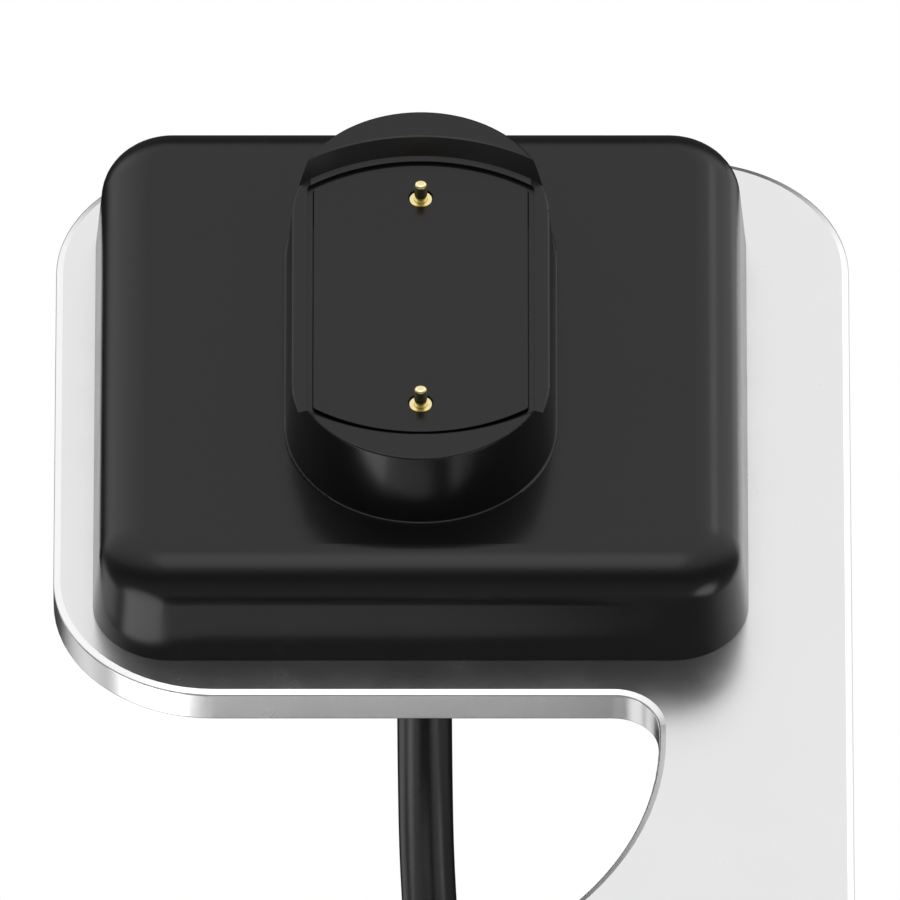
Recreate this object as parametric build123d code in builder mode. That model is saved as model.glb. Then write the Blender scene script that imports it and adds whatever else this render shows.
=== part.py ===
from build123d import *
from math import cos, radians, sin, sqrt, tan
import os

# Smartwatch charging dock. Millimetres, +X right, +Y to the rear, +Z up.
# The origin is under the middle of the stand, on the surface that its feet stand on.

# Stand: one aluminium sheet, with a leaning head plate, a bent nose and a foot
sheet = 3.0
stand_width = 66.5
lean = 45.0
slope_length = 105.0
nose_radius = 10.0
foot_length = 72.0
corner_radius = 13.4
bevel_width = 0.58
bevel_depth = 0.19
bevel_round = 0.2
rear_edge = 0.2

# Foot pads, glued under the stand's foot
pad_radius = 4.5
pad_height = 1.5
pad_edge = 0.3
pad_inset = 9.0
front_pad_inset = 5.0

# Strap opening, a notch open to the left that leaves an arm on the right
head_length = 63.2
opening_radius = 29.1
opening_centre_x = 21.3
opening_centre_drop = 68.3
opening_inner_corner = 3.75
horn_radius = 6.5

# Housing shell, the block on the head plate
block_width = 54.6
block_length = 55.4
block_height = 9.45
block_corner = 6.5
block_draft = 5.0
block_edge = 3.8
block_wall = 2.0
block_roof = 2.0
block_left_margin = 3.3
block_top_margin = 3.9
ceiling_edge = 1.2

# Housing base, the cover inside the shell's open back
cover = 1.2
cover_gap = 0.15

# Housing screws, through the head plate and the cover into the shell
screw_inset = 6.8
screw_radius = 1.25
screw_gap = 0.05
screw_head_radius = 2.4
screw_grip = 4.6
screw_tip = 0.36
screw_socket = 1.5
screw_socket_depth = 0.9
boss_radius = 3.0

# Cradle, the raised seat on the block
cradle_rise = 0.2
cradle_straight = 19.9
cradle_end_radius = 11.2
cradle_draft = 5.0
lip_height = 6.94
rim_height = 5.3
cradle_bead = 0.23
cradle_bead_height = 0.2
cradle_bead_edge = 0.17
cradle_edge = 0.18
lip_edge_width = 0.15
lip_edge_depth = 0.06
watch_radius = 16.87
watch_flare = 0.69
pocket_radius = 16.29
pocket_half_width = 9.5
pocket_corner = 0.6
ledge = 1.2

# Seat plate in the cradle's pocket, inside a shallow step that leaves a groove round it
seat_thickness = 2.4
seat_gap = 0.1
groove_width = 0.58
groove_depth = 0.3
seat_corner = 0.45
pin_hole_radius = 1.05

# Spring pins
pin_pitch = 24.24
barrel_radius = 0.935
barrel_below_seat = 0.16
barrel_bore = 0.68
barrel_cap = 0.4
barrel_floor = 0.8
barrel_foot_radius = 1.3
barrel_foot = 0.5
tail_radius = 0.4
tail_length = 1.7
plunger_radius = 0.54
plunger_stand = 1.88
plunger_tip = 0.3
plunger_head = 1.5
pin_travel = 1.4
running_gap = 0.03
spring_wire = 0.16
spring_turns = 4.5
spring_gap = 0.1

# Magnets under the seat plate
magnet_radius = 4.0
magnet_height = 2.5
magnet_pitch = 9.6
magnet_recess = 0.4
magnet_gap = 0.08

# Circuit board under the shell's roof
board_width = 24.0
board_thickness = 1.0
board_corner = 1.5
board_margin = 0.3
chip_side = 3.0
chip_height = 0.9
capacitor_length = 3.2
capacitor_width = 1.6
capacitor_height = 1.3
resistor_length = 1.6
resistor_width = 0.8
resistor_height = 0.5
roof_opening_half_width = 8.0
roof_opening_length = 30.0
board_screw_x = 10.0
small_screw_radius = 0.8
small_head_radius = 1.5
small_head_height = 0.8
small_screw_grip = 1.5
cradle_screw_grip = 3.2

# Strain relief, its hole and the lead that it holds
cable_radius = 2.3
cable_x = 0.3
cable_y = -14.4
relief_neck = 3.3
relief_flange_radius = 4.6
relief_flange = 1.2
relief_boot_radius = 3.8
relief_tip_radius = 2.95
relief_length = 13.0
relief_gap = 0.05
relief_socket = 4.0
groove_count = 3
boot_groove_width = 0.9
boot_groove_depth = 0.55
jacket_end = 0.6
core_radius = 0.45
core_pitch = 1.8
pad_x = 2.6
pad_y = -8.5
core_bend = 0.7

# Coil of the put-away lead, behind the stand
coil_gap = 6.0
coil_outer_turn = 30.9
turn_pitch = 4.75
turns_across = 3.056
coil_rise = 4.7
tie_thickness = 0.4
tie_width = 4.5
tie_slack = 0.25
tie_angle = 200.0

# Power plug on the lead's end, lying behind the coil
plug_width = 15.4
plug_height = 7.6
plug_length = 19.0
plug_corner = 2.6
plug_boot_radius = 3.1
plug_boot_length = 4.0
plug_entry = (-5.3, 42.5)
tongue_shell_width = 12.0
tongue_shell_height = 4.5
tongue_shell_wall = 0.3
tongue_shell_length = 12.0
tongue_shell_in = 5.0
tongue_height = 1.9
contact_width = 1.0
contact_pitch = 2.3
contact_thickness = 0.2
contact_length = 8.0

# The stand's own places
bend_y = -(nose_radius + foot_length) / 2 + nose_radius
foot_rear = bend_y + foot_length
bend_centre_z = pad_height + nose_radius
cradle_screw_y = (cradle_straight / 2 + cradle_end_radius + pocket_radius) / 2
board_length = 2 * (cradle_screw_y - small_head_radius - board_margin)
screw_pitch_x = block_width - 2 * screw_inset
screw_pitch_y = block_length - 2 * screw_inset
slope = Vector(0, sin(radians(lean)), cos(radians(lean)))
outward = Vector(0, -cos(radians(lean)), sin(radians(lean)))
block_x = block_left_margin + block_width / 2
block_drop = block_top_margin + block_length / 2
tangent = Vector(block_x - stand_width / 2, bend_y, bend_centre_z) + outward * nose_radius
head = Plane(
    origin=tangent + slope * (slope_length - block_drop),
    x_dir=(1, 0, 0),
    z_dir=outward,
)
out = Axis((0, 0, 0), outward)

# Heights above the head plate
ceiling = block_height - block_roof
rim = block_height + rim_height
lip_top = block_height + lip_height
groove_floor = rim - groove_depth
seat_underside = rim - seat_thickness
seat_radius = pocket_radius - groove_width
seat_half_width = pocket_half_width - groove_width
board_top = ceiling
board_underside = board_top - board_thickness
barrel_top = rim - barrel_below_seat
plunger_shoulder = barrel_top - barrel_cap - running_gap
spring_floor = board_top + barrel_floor
spring_length = plunger_shoulder - plunger_head - spring_floor
relief_tip = -sheet - relief_length


def on_head(x, y, z):
    """The point at x across, y up the slope and z out from the head plate."""
    return head.from_local_coords(Vector(x, y, z))


def across(x, y):
    """A plane for the profile of a turned piece, whose own Y axis stands out of the head plate."""
    return Plane(origin=on_head(x, y, 0), x_dir=(1, 0, 0), z_dir=-slope)


def out_of(x, y):
    """The axis that stands out of the head plate at x, y."""
    return Axis(on_head(x, y, 0), outward)


def corners_at(corners, x, y):
    """The corners of a sketch that lie at x, y."""
    return [c for c in corners if (Vector(c) - Vector(x, y, 0)).length < 0.01]


def on_outer_skin(edge):
    """Whether an edge lies on the stand's outer skin: the head's front, the nose or the foot's underside."""
    middle = edge.center()
    if middle.Y > bend_y and middle.Z < bend_centre_z:
        return middle.Z < pad_height + sheet / 2
    if middle.Y > tangent.Y and middle.Z > tangent.Z:
        return height_of(edge) > -sheet / 2
    return Vector(0, middle.Y - bend_y, middle.Z - bend_centre_z).length > nose_radius - sheet / 2


def height_of(face):
    """How far a face's middle stands out of the head plate."""
    return head.to_local_coords(face.center()).Z


# Stand. The head plate is a rounded rectangle with the strap opening cut in from the left.
left = -block_x
right = stand_width - block_x
top = block_drop
bottom = block_drop - slope_length
neck = block_drop - head_length
opening_x = opening_centre_x - block_x
opening_y = block_drop - opening_centre_drop
opening_floor = opening_y - opening_radius
opening_corner_x = opening_x + sqrt(opening_radius**2 - (neck - opening_y) ** 2)
arc_middle = (
    opening_x + opening_radius * cos(radians(20)),
    opening_y - opening_radius * sin(radians(20)),
)

with BuildPart() as stand:
    with BuildSketch(head) as outline:
        with Locations(((left + right) / 2, (top + bottom) / 2)):
            Rectangle(stand_width, slope_length)
        with BuildSketch(head, mode=Mode.SUBTRACT):
            with BuildLine():
                Line((left - stand_width, neck), (opening_corner_x, neck))
                ThreePointArc((opening_corner_x, neck), arc_middle, (opening_x, opening_floor))
                Polyline(
                    (opening_x, opening_floor),
                    (left - stand_width, opening_floor),
                    (left - stand_width, neck),
                )
            make_face()
        for x, y in ((left, top), (right, top), (left, neck)):
            fillet(corners_at(outline.vertices(), x, y), corner_radius)
        fillet(corners_at(outline.vertices(), left, opening_floor), horn_radius)
        fillet(corners_at(outline.vertices(), opening_corner_x, neck), opening_inner_corner)
    extrude(amount=-sheet)
    with BuildSketch(Plane.YZ.offset(-stand_width / 2)):
        with BuildLine():
            outer = CenterArc((bend_y, bend_centre_z), nose_radius, 180 - lean, 90 + lean)
            inner = CenterArc((bend_y, bend_centre_z), nose_radius - sheet, 180 - lean, 90 + lean)
            Line(outer @ 0, inner @ 0)
            Line(outer @ 1, inner @ 1)
        make_face()
    extrude(amount=stand_width)
    with BuildSketch(Plane.XY.offset(pad_height)) as foot_outline:
        with Locations((0, bend_y + foot_length / 2)):
            Rectangle(stand_width, foot_length)
        fillet(foot_outline.vertices().group_by(Axis.Y)[-1], corner_radius)
    extrude(amount=sheet)
    skins = stand.faces().sort_by(SortBy.AREA)[-6:]
    rims = [e for e in skins.edges() if abs(e.length - stand_width) > 0.01]
    fillet([e for e in rims if not on_outer_skin(e)], rear_edge)
    front = [f for f in stand.faces().filter_by(GeomType.PLANE) if abs(height_of(f)) < 0.01][0]
    rims = [e for e in front.edges() if abs(e.length - stand_width) > 0.01]
    chamfer(rims, bevel_width, bevel_depth, reference=front)
    arrises = [e for e in stand.edges() if abs(height_of(e) + bevel_depth) < 0.01]
    fillet(arrises, bevel_round)
    with Locations(Plane(origin=on_head(0, 0, -sheet), x_dir=(1, 0, 0), z_dir=-outward)):
        with GridLocations(screw_pitch_x, screw_pitch_y, 2, 2):
            CounterSinkHole(screw_radius + screw_gap, screw_head_radius, 2 * sheet)
        with Locations((cable_x, -cable_y)):
            Hole(relief_neck + relief_gap, 2 * sheet)
stand.part.label = "stand"


# Foot pads, four turned silicone discs with a softened lower edge
pad_places = {
    "foot_pad_front_left": (-1, bend_y + front_pad_inset),
    "foot_pad_front_right": (1, bend_y + front_pad_inset),
    "foot_pad_rear_left": (-1, foot_rear - pad_inset),
    "foot_pad_rear_right": (1, foot_rear - pad_inset),
}
pads = []
for name, (side, y) in pad_places.items():
    with BuildPart() as foot_pad:
        with BuildSketch(Plane.XY):
            with Locations((side * (stand_width / 2 - pad_inset), y)):
                Circle(pad_radius)
        extrude(amount=pad_height)
        chamfer(foot_pad.edges().group_by(Axis.Z)[0], pad_edge)
    foot_pad.part.label = name
    pads.append(foot_pad)


# Housing shell, a drafted and rounded block, hollow from the back, with four screw bosses
with BuildPart() as housing_shell:
    with BuildSketch(head):
        RectangleRounded(block_width, block_length, block_corner)
    extrude(amount=block_height, taper=block_draft)
    fillet(housing_shell.faces().sort_by(out)[-1].edges(), block_edge)
    with BuildSketch(head):
        RectangleRounded(
            block_width - 2 * block_wall, block_length - 2 * block_wall, block_corner - block_wall
        )
    extrude(amount=ceiling, taper=block_draft, mode=Mode.SUBTRACT)
    under_roof = [f for f in housing_shell.faces() if abs(height_of(f) - ceiling) < 0.01]
    fillet(under_roof[0].edges(), ceiling_edge)
    with BuildSketch(head.offset(cover)):
        with GridLocations(screw_pitch_x, screw_pitch_y, 2, 2):
            Circle(boss_radius)
    extrude(amount=block_height - block_roof / 2 - cover)
    with BuildSketch(head.offset(cover)):
        with GridLocations(screw_pitch_x, screw_pitch_y, 2, 2):
            Circle(screw_radius + screw_gap)
    extrude(amount=screw_grip + screw_gap, mode=Mode.SUBTRACT)
    with BuildSketch(head.offset(ceiling)):
        SlotOverall(roof_opening_length, 2 * roof_opening_half_width, rotation=90)
        with Locations((0, cradle_screw_y), (0, -cradle_screw_y)):
            Circle(small_screw_radius + screw_gap)
    extrude(amount=block_roof, mode=Mode.SUBTRACT)
    with BuildSketch(head.offset(ceiling)):
        with Locations((board_screw_x, 0), (-board_screw_x, 0)):
            Circle(small_screw_radius + screw_gap)
    extrude(amount=small_screw_grip + screw_gap, mode=Mode.SUBTRACT)
housing_shell.part.label = "housing_shell"


# Housing base, the cover that closes the shell against the head plate
with BuildPart() as housing_base:
    with BuildSketch(head):
        RectangleRounded(
            block_width - 2 * block_wall - 2 * cover_gap,
            block_length - 2 * block_wall - 2 * cover_gap,
            block_corner - block_wall,
        )
        with GridLocations(screw_pitch_x, screw_pitch_y, 2, 2):
            Circle(screw_radius + screw_gap, mode=Mode.SUBTRACT)
        with Locations((cable_x, cable_y)):
            Circle(relief_neck + relief_gap, mode=Mode.SUBTRACT)
    extrude(amount=cover)
    chamfer(housing_base.faces().sort_by(out)[-1].outer_wire().edges(), cover_gap)
housing_base.part.label = "housing_base"


def seat_outline(radius, half_width, corner):
    """The watch back's outline: a circle between two flats, with rounded corners."""
    with BuildSketch() as shape:
        with Locations((0, cradle_rise)):
            Circle(radius)
            Rectangle(2 * half_width, 4 * radius, mode=Mode.INTERSECT)
        fillet(shape.vertices(), corner)
    return shape.sketch


# Cradle, a drafted stadium with a flared round seat between its two end lips
with BuildPart() as cradle:
    with BuildSketch(head.offset(block_height)):
        with Locations((0, cradle_rise)):
            SlotCenterToCenter(cradle_straight, 2 * cradle_end_radius, rotation=90)
    extrude(amount=lip_height, taper=cradle_draft)
    with BuildSketch(across(0, cradle_rise)):
        with BuildLine():
            Polyline(
                (0, rim),
                (watch_radius, rim),
                (watch_radius + watch_flare, lip_top - lip_edge_depth),
                (watch_radius + watch_flare + lip_edge_width, lip_top),
                (watch_radius + 2 * watch_flare, lip_top + rim_height),
                (0, lip_top + rim_height),
                close=True,
            )
        make_face()
    revolve(axis=out_of(0, cradle_rise), mode=Mode.SUBTRACT)
    tops = [f for f in cradle.faces() if height_of(f) > rim - 0.01 and f.geom_type == GeomType.PLANE]
    outside = [f for f in cradle.faces() if height_of(f) < rim - 0.01]
    fillet(ShapeList(tops).edges() & ShapeList(outside).edges(), cradle_edge)
    with BuildSketch(head.offset(block_height)):
        with Locations((0, cradle_rise)):
            SlotCenterToCenter(
                cradle_straight, 2 * (cradle_end_radius + cradle_bead), rotation=90
            )
    extrude(amount=cradle_bead_height)
    level = block_height + cradle_bead_height
    bead_top = [f for f in cradle.faces() if f.is_planar and abs(height_of(f) - level) < 0.01][0]
    fillet(bead_top.outer_wire().edges(), cradle_bead_edge)
    with BuildSketch(head.offset(groove_floor)):
        add(seat_outline(pocket_radius, pocket_half_width, pocket_corner))
    extrude(amount=groove_depth, mode=Mode.SUBTRACT)
    with BuildSketch(head.offset(seat_underside)):
        add(seat_outline(seat_radius + seat_gap, seat_half_width + seat_gap, seat_corner))
    extrude(amount=seat_thickness, mode=Mode.SUBTRACT)
    with BuildSketch(head.offset(block_height)):
        add(seat_outline(seat_radius - ledge, seat_half_width - ledge, seat_corner))
    extrude(amount=seat_underside - block_height, mode=Mode.SUBTRACT)
    with BuildSketch(head.offset(block_height)):
        with Locations((0, cradle_screw_y), (0, -cradle_screw_y)):
            Circle(small_screw_radius + screw_gap)
    extrude(amount=cradle_screw_grip + screw_gap, mode=Mode.SUBTRACT)
cradle.part.label = "cradle"


# Seat plate, which fills the pocket inside the groove and carries the pins and the magnets
with BuildPart() as seat_plate:
    with BuildSketch(head.offset(seat_underside)):
        add(seat_outline(seat_radius, seat_half_width, seat_corner))
    extrude(amount=seat_thickness)
    with BuildSketch(head.offset(seat_underside)):
        with Locations((0, pin_pitch / 2), (0, -pin_pitch / 2)):
            Circle(pin_hole_radius)
    extrude(amount=seat_thickness, mode=Mode.SUBTRACT)
    with BuildSketch(head.offset(seat_underside)):
        with Locations((0, magnet_pitch / 2), (0, -magnet_pitch / 2)):
            Circle(magnet_radius + magnet_gap)
    extrude(amount=magnet_recess, mode=Mode.SUBTRACT)
seat_plate.part.label = "seat_plate"


# Spring pins: a turned barrel soldered to the board, a plunger held under its cap, and a spring
barrels, plungers, springs = [], [], []
for name, y in (("upper", pin_pitch / 2), ("lower", -pin_pitch / 2)):
    with BuildPart() as pin_barrel:
        with BuildSketch(across(0, y)):
            with BuildLine():
                Polyline(
                    (0, board_top - tail_length),
                    (tail_radius, board_top - tail_length),
                    (tail_radius, board_top),
                    (barrel_foot_radius, board_top),
                    (barrel_foot_radius, board_top + barrel_foot),
                    (barrel_radius, board_top + barrel_foot),
                    (barrel_radius, barrel_top),
                    (plunger_radius + running_gap, barrel_top),
                    (plunger_radius + running_gap, barrel_top - barrel_cap),
                    (barrel_bore, barrel_top - barrel_cap),
                    (barrel_bore, spring_floor),
                    (0, spring_floor),
                    close=True,
                )
            make_face()
        revolve(axis=out_of(0, y))
    pin_barrel.part.label = f"pin_barrel_{name}"
    barrels.append(pin_barrel)

    with BuildPart() as pin_plunger:
        with BuildSketch(across(0, y)):
            with BuildLine():
                tip_height = barrel_top + plunger_stand
                Polyline(
                    (0, tip_height),
                    (0, plunger_shoulder - plunger_head),
                    (barrel_bore - running_gap, plunger_shoulder - plunger_head),
                    (barrel_bore - running_gap, plunger_shoulder),
                    (plunger_radius, plunger_shoulder),
                    (plunger_radius, tip_height - plunger_tip),
                )
                RadiusArc(
                    (plunger_radius, tip_height - plunger_tip),
                    (plunger_radius - plunger_tip, tip_height),
                    -plunger_tip,
                )
                Line((plunger_radius - plunger_tip, tip_height), (0, tip_height))
            make_face()
        revolve(axis=out_of(0, y))
    pin_plunger.part.label = f"pin_plunger_{name}"
    plungers.append(pin_plunger)

    with BuildPart() as pin_spring:
        coil_radius = barrel_bore - spring_gap - spring_wire / 2
        with BuildLine():
            turns = Helix(
                pitch=(spring_length - 2 * spring_wire) / spring_turns,
                height=spring_length - 2 * spring_wire,
                radius=coil_radius,
                center=on_head(0, y, spring_floor + spring_wire),
                direction=outward,
            )
        with BuildSketch(Plane(origin=turns @ 0, z_dir=turns % 0)):
            Circle(spring_wire / 2)
        sweep(is_frenet=True)
    pin_spring.part.label = f"pin_spring_{name}"
    springs.append(pin_spring)


# Magnets, two discs in the seat plate's underside
magnets = []
for name, y in (("upper", magnet_pitch / 2), ("lower", -magnet_pitch / 2)):
    with BuildPart() as magnet:
        with BuildSketch(head.offset(seat_underside + magnet_recess - magnet_height)):
            with Locations((0, y)):
                Circle(magnet_radius)
        extrude(amount=magnet_height)
    magnet.part.label = f"magnet_{name}"
    magnets.append(magnet)


# Circuit board and the parts soldered to its underside
with BuildPart() as circuit_board:
    with BuildSketch(head.offset(board_underside)):
        RectangleRounded(board_width, board_length, board_corner)
        with Locations((0, pin_pitch / 2), (0, -pin_pitch / 2)):
            Circle(tail_radius + screw_gap, mode=Mode.SUBTRACT)
        with Locations((board_screw_x, 0), (-board_screw_x, 0)):
            Circle(small_screw_radius + screw_gap, mode=Mode.SUBTRACT)
    extrude(amount=board_thickness)
circuit_board.part.label = "circuit_board"

with BuildPart() as board_parts:
    with BuildSketch(head.offset(board_underside)):
        Rectangle(chip_side, chip_side)
    extrude(amount=-chip_height)
    with BuildSketch(head.offset(board_underside)):
        with GridLocations(4 * capacitor_length, 0, 2, 1):
            Rectangle(capacitor_length, capacitor_width)
    extrude(amount=-capacitor_height)
    with BuildSketch(head.offset(board_underside)):
        with Locations((0, 2 * chip_side)):
            with GridLocations(2.5 * resistor_length, 2.5 * resistor_width, 3, 2):
                Rectangle(resistor_length, resistor_width)
    extrude(amount=-resistor_height)
board_parts.part.label = "board_parts"


def screws(label, places, under_head, radius, grip, head_radius, head_height):
    """Like screws with their heads on the plate side, as a group of separate solids."""
    with BuildPart() as group:
        with BuildSketch(head.offset(under_head)):
            with Locations(*places):
                Circle(radius)
        extrude(amount=grip)
        with BuildSketch(head.offset(under_head)):
            with Locations(*places):
                Circle(head_radius)
        extrude(amount=-head_height)
        with BuildSketch(head.offset(under_head - head_height)):
            with Locations(*places):
                RegularPolygon(radius * 0.9, 6)
        extrude(amount=head_height * 0.6, mode=Mode.SUBTRACT)
    group.part.label = label
    return group


cradle_screws = screws(
    "cradle_screws",
    ((0, cradle_screw_y), (0, -cradle_screw_y)),
    ceiling,
    small_screw_radius,
    block_roof + cradle_screw_grip,
    small_head_radius,
    small_head_height,
)
board_screws = screws(
    "board_screws",
    ((board_screw_x, 0), (-board_screw_x, 0)),
    board_underside,
    small_screw_radius,
    board_thickness + small_screw_grip,
    small_head_radius,
    small_head_height,
)

# Housing screws, countersunk in the back of the head plate, with a hexagon socket
sink_depth = screw_head_radius - screw_radius - screw_gap
screw_places = [
    (side * screw_pitch_x / 2, end * screw_pitch_y / 2) for side in (-1, 1) for end in (-1, 1)
]
with BuildPart() as housing_screws:
    for x, y in screw_places:
        with BuildSketch(across(x, y)):
            with BuildLine():
                Polyline(
                    (0, cover + screw_grip),
                    (screw_radius - screw_tip, cover + screw_grip),
                    (screw_radius, cover + screw_grip - screw_tip),
                    (screw_radius, sink_depth - sheet),
                    (screw_head_radius - screw_gap, -sheet),
                    (0, -sheet),
                    close=True,
                )
            make_face()
        revolve(axis=out_of(x, y))
    with BuildSketch(head.offset(-sheet)):
        with Locations(*screw_places):
            RegularPolygon(screw_socket / 2, 6, major_radius=False)
    extrude(amount=screw_socket_depth, mode=Mode.SUBTRACT)
housing_screws.part.label = "housing_screws"


# Strain relief, a soft grommet snapped into the head plate, with a grooved tapering boot
boot_start = -sheet - relief_flange
with BuildPart() as strain_relief:
    with BuildSketch(across(cable_x, cable_y)):
        with BuildLine():
            Polyline(
                (cable_radius + relief_gap, cover + relief_flange),
                (relief_flange_radius, cover + relief_flange),
                (relief_flange_radius, cover),
                (relief_neck, cover),
                (relief_neck, -sheet),
                (relief_flange_radius, -sheet),
                (relief_flange_radius, boot_start),
                (relief_boot_radius, boot_start),
                (relief_tip_radius, relief_tip),
                (cable_radius + relief_gap, relief_tip),
                close=True,
            )
        make_face()
    revolve(axis=out_of(cable_x, cable_y))
    for k in range(groove_count):
        groove_top = boot_start - boot_groove_width * (2 * k + 1.5)
        with BuildSketch(head.offset(groove_top - boot_groove_width)):
            with Locations((cable_x, cable_y)):
                Circle(relief_flange_radius)
                Circle(relief_tip_radius + 0.2, mode=Mode.SUBTRACT)
        extrude(amount=boot_groove_width, mode=Mode.SUBTRACT)
strain_relief.part.label = "strain_relief"

# Cable end, the stripped jacket inside the strain relief
with BuildPart() as cable_end:
    with BuildSketch(head.offset(relief_tip + relief_socket)):
        with Locations((cable_x, cable_y)):
            Circle(cable_radius)
    extrude(amount=cover + relief_flange + jacket_end - relief_tip - relief_socket)
cable_end.part.label = "cable_end"

# Two inner leads, from the jacket's end to the board's underside
leads = []
jacket_top = cover + relief_flange + jacket_end
for name, side in (("positive", 1), ("negative", -1)):
    with BuildPart() as lead:
        start = (cable_x + side * core_pitch / 2, cable_y, jacket_top)
        with BuildLine():
            route = FilletPolyline(
                on_head(*start),
                on_head(start[0], start[1], (jacket_top + board_underside) / 2),
                on_head(side * pad_x, pad_y, (jacket_top + board_underside) / 2 + 0.3),
                on_head(side * pad_x, pad_y, board_underside),
                radius=core_bend,
            )
        with BuildSketch(Plane(origin=route @ 0, z_dir=route % 0)):
            Circle(core_radius)
        sweep()
    lead.part.label = f"lead_{name}"
    leads.append(lead)


def fillet_radii(points):
    """For each corner of a route, 0.45 of its shorter run over the tangent of half its turn."""
    radii = []
    for before, corner, after in zip(points, points[1:], points[2:]):
        run_in, run_out = corner - before, after - corner
        half_turn = radians(run_in.get_angle(run_out)) / 2
        radii.append(0.45 * min(run_in.length, run_out.length) / tan(half_turn))
    return radii


def cord(label, points):
    """A round tube along straight runs joined by the largest tangent arcs."""
    radii = fillet_radii(points)
    with BuildPart() as tube:
        with BuildLine():
            line = FilletPolyline(*points, radius=radii)
        with BuildSketch(Plane(origin=line @ 0, z_dir=line % 0)):
            Circle(cable_radius)
        sweep()
    expected = line.length * 3.14159265 * cable_radius**2
    print(label, "length", round(line.length, 1), "smallest radius", round(min(radii), 1))
    print(label, "volume over section times length", round(tube.part.volume / expected, 4))
    tube.part.label = label
    return tube


# Lead from the strain relief down to the desk behind the foot
coil_y = foot_rear + coil_gap + coil_outer_turn + cable_radius
coil_floor = tie_thickness + cable_radius
lead_start = on_head(cable_x, cable_y, relief_tip + relief_socket)
lead_points = [
    lead_start,
    lead_start - outward * 12,
    Vector(-2.1, 28.0, 31.0),
    Vector(-0.8, 35.5, 18.0),
    Vector(7.0, 43.0, 8.5),
    Vector(16.8, 51.6, 3.6),
    Vector(25.3, coil_y - 17.7, coil_floor),
]
cable_lead = cord("cable_lead", lead_points)

# Coil, the outer shape of the turns that lie behind the stand
coil_inner_turn = coil_outer_turn - turn_pitch * turns_across
with BuildPart() as cable_coil:
    with BuildSketch(Plane.XZ.offset(-coil_y)):
        with Locations(((coil_inner_turn + coil_outer_turn) / 2, coil_floor + coil_rise / 2)):
            RectangleRounded(
                coil_outer_turn - coil_inner_turn + 2 * cable_radius,
                coil_rise + 2 * cable_radius,
                cable_radius * 0.95,
            )
    revolve(axis=Axis((0, coil_y, 0), (0, 0, 1)))
cable_coil.part.label = "cable_coil"

# Tie, a flat band round the bundle
tie_plane = Plane(
    origin=(0, coil_y, coil_floor + coil_rise / 2),
    x_dir=(cos(radians(tie_angle)), sin(radians(tie_angle)), 0),
    z_dir=(-sin(radians(tie_angle)), cos(radians(tie_angle)), 0),
)
bundle_width = coil_outer_turn - coil_inner_turn + 2 * cable_radius
bundle_height = coil_rise + 2 * cable_radius
with BuildPart() as cable_tie:
    with BuildSketch(tie_plane.offset(-tie_width / 2)):
        with Locations(((coil_inner_turn + coil_outer_turn) / 2, 0)):
            RectangleRounded(
                bundle_width + 2 * tie_slack + 2 * tie_thickness,
                bundle_height + 2 * tie_thickness,
                cable_radius + tie_thickness,
            )
            RectangleRounded(
                bundle_width + 2 * tie_slack, bundle_height, cable_radius * 0.95, mode=Mode.SUBTRACT
            )
    extrude(amount=tie_width)
cable_tie.part.label = "cable_tie"

# Tail from the coil's last turn to the plug
plug_mouth = Vector(plug_entry[0] + plug_boot_length, coil_y + plug_entry[1], plug_height / 2)
tail_points = [
    Vector(30.8, coil_y + 2.7, coil_floor + coil_rise),
    Vector(29.9, coil_y + 13.2, 7.0),
    Vector(29.0, coil_y + 23.6, 4.4),
    Vector(24.65, coil_y + 32.4, 2.6),
    Vector(17.5, coil_y + 39.0, 2.6),
    Vector(8.4, plug_mouth.Y, plug_mouth.Z),
    plug_mouth,
]
cable_tail = cord("cable_tail", tail_points)


# Power plug: overmoulded grip, folded metal shell, insulator tongue and four contacts
plug_plane = Plane(
    origin=(plug_entry[0], coil_y + plug_entry[1], plug_height / 2),
    x_dir=(0, 1, 0),
    z_dir=(-1, 0, 0),
)
with BuildPart() as plug_overmould:
    with BuildSketch(plug_plane):
        RectangleRounded(plug_width, plug_height, plug_corner)
    extrude(amount=plug_length)
    with BuildSketch(plug_plane):
        Circle(relief_boot_radius)
    with BuildSketch(plug_plane.offset(-plug_boot_length)):
        Circle(plug_boot_radius)
    loft()
    with BuildSketch(plug_plane.offset(plug_length - tongue_shell_in)):
        Rectangle(tongue_shell_width + screw_gap, tongue_shell_height + screw_gap)
    extrude(amount=tongue_shell_in, mode=Mode.SUBTRACT)
plug_overmould.part.label = "plug_overmould"

shell_start = plug_length - tongue_shell_in
shell_length = tongue_shell_in + tongue_shell_length
with BuildPart() as plug_shell:
    with BuildSketch(plug_plane.offset(shell_start)):
        Rectangle(tongue_shell_width, tongue_shell_height)
        Rectangle(
            tongue_shell_width - 2 * tongue_shell_wall,
            tongue_shell_height - 2 * tongue_shell_wall,
            mode=Mode.SUBTRACT,
        )
    extrude(amount=shell_length)
    with BuildSketch(Plane.XY.offset(plug_height / 2 - tongue_shell_height)):
        with Locations((plug_entry[0] - plug_length - 5.5, coil_y + plug_entry[1])):
            with GridLocations(0, 5.2, 1, 2):
                Rectangle(2.4, 2.2)
    extrude(amount=2 * tongue_shell_height, mode=Mode.SUBTRACT)
plug_shell.part.label = "plug_shell"

tongue_width = tongue_shell_width - 2 * tongue_shell_wall - 2 * screw_gap
tongue_low = -tongue_shell_height / 2 + tongue_shell_wall
with BuildPart() as plug_insulator:
    with BuildSketch(plug_plane.offset(shell_start)):
        Rectangle(tongue_width, tongue_shell_height - 2 * tongue_shell_wall - 2 * screw_gap)
    extrude(amount=tongue_shell_in - 1)
    with BuildSketch(plug_plane.offset(shell_start)):
        with Locations((0, tongue_low + screw_gap + tongue_height / 2)):
            Rectangle(tongue_width, tongue_height)
    extrude(amount=shell_length - 0.6)
plug_insulator.part.label = "plug_insulator"

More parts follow.
